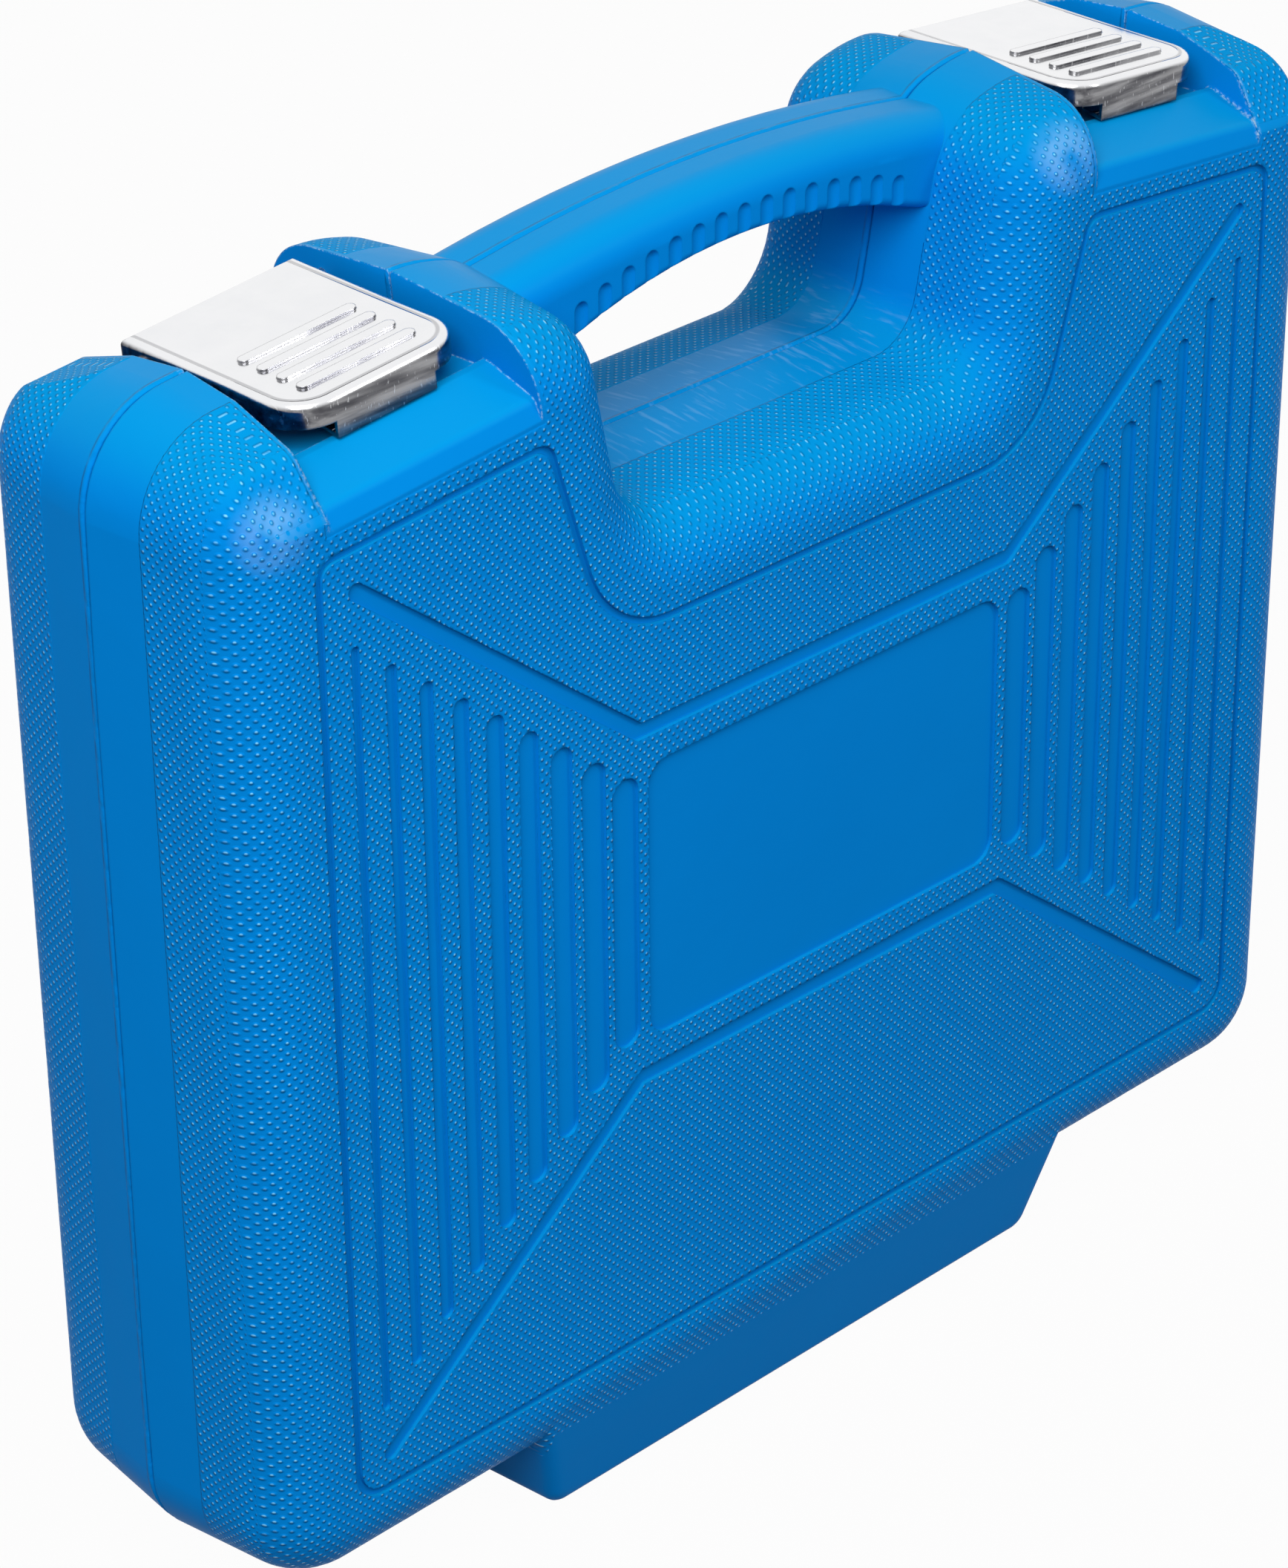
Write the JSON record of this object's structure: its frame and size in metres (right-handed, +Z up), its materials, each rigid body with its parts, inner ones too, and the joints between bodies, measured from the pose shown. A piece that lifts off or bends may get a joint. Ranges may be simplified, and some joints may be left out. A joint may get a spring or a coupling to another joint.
{
  "type": "socket wrench set in case",
  "caption": "Blow-moulded carry case with a moulded-in grip, two snap latches and a hinged lid, holding a ratchet, sockets, extension bars and a sliding T-bar.",
  "frame": {"origin": "middle of the foot's underside, on the parting plane between the two halves", "axes": "+Z up, the case standing on its foot; X across its width; the front half faces -Y"},
  "size_m": [0.3743, 0.0906, 0.3296],
  "materials": {
    "case_plastic": "bright blue blow-moulded polyethylene with a satin sheen and a moulded grain",
    "liner_plastic": "black formed sheet, fine matt grain",
    "zinc_sheet": "bright plated stamped sheet steel",
    "pin_steel": "drawn steel wire",
    "tool_chrome": "satin chrome on chrome-vanadium steel",
    "grip_plastic": "black grip compound",
    "control_steel": "dark plated steel"
  },
  "bodies": {
    "base": {"rear_shell": "case_plastic", "hinge_pin": "pin_steel", "latch_left_pin": "pin_steel", "latch_right_pin": "pin_steel", "tool_tray": "liner_plastic", "socket_10": "tool_chrome", "socket_11": "tool_chrome", "socket_12": "tool_chrome", "socket_13": "tool_chrome", "socket_14": "tool_chrome", "socket_15": "tool_chrome", "socket_17": "tool_chrome", "socket_19": "tool_chrome", "socket_22": "tool_chrome", "socket_24": "tool_chrome", "socket_27": "tool_chrome", "socket_30": "tool_chrome", "socket_32": "tool_chrome", "spark_plug_socket": "tool_chrome", "extension_bar_long": "tool_chrome", "extension_bar_short": "tool_chrome", "tbar_rod": "tool_chrome", "ratchet_body": "tool_chrome", "ratchet_cover": "tool_chrome", "ratchet_cover_screws": "pin_steel", "ratchet_grip": "grip_plastic"},
    "lid": {"front_shell": "case_plastic", "lid_liner": "liner_plastic"},
    "latch_left": {"latch_left": "zinc_sheet"},
    "latch_right": {"latch_right": "zinc_sheet"},
    "slider": {"tbar_slider": "tool_chrome"},
    "drive": {"ratchet_drive": "tool_chrome"},
    "reverser": {"ratchet_lever": "control_steel"},
    "button": {"ratchet_button": "control_steel"}
  },
  "joints": [
    {"name": "lid_hinge", "type": "hinge", "parent": "base", "child": "lid", "pos_m": [0, 0, 0.005], "axis": [1, 0, 0], "range_deg": [0, 120]},
    {"name": "latch_left_lift", "type": "hinge", "parent": "base", "child": "latch_left", "pos_m": [-0.12621, 0.0246, 0.31812], "axis": [-0.9962, 0, -0.0872], "range_deg": [0, 110]},
    {"name": "latch_right_lift", "type": "hinge", "parent": "base", "child": "latch_right", "pos_m": [0.12621, 0.0246, 0.31812], "axis": [-0.9962, 0, 0.0872], "range_deg": [0, 110]},
    {"name": "tbar_slide", "type": "slide", "parent": "base", "child": "slider", "axis": [1, 0, 0], "range_m": [-0.1, 0.1]},
    {"name": "drive_turn", "type": "hinge", "parent": "base", "child": "drive", "pos_m": [-0.122, 0.007, 0.236], "axis": [0, 1, 0], "continuous": true},
    {"name": "reverser_turn", "type": "hinge", "parent": "base", "child": "reverser", "pos_m": [-0.097, -0.0044, 0.236], "axis": [0, 1, 0], "range_deg": [0, 50]},
    {"name": "button_press", "type": "slide", "parent": "drive", "child": "button", "axis": [0, 1, 0], "range_m": [0, 0.0025], "stiffness_N_per_m": 400, "springref_m": -0.001}
  ]
}
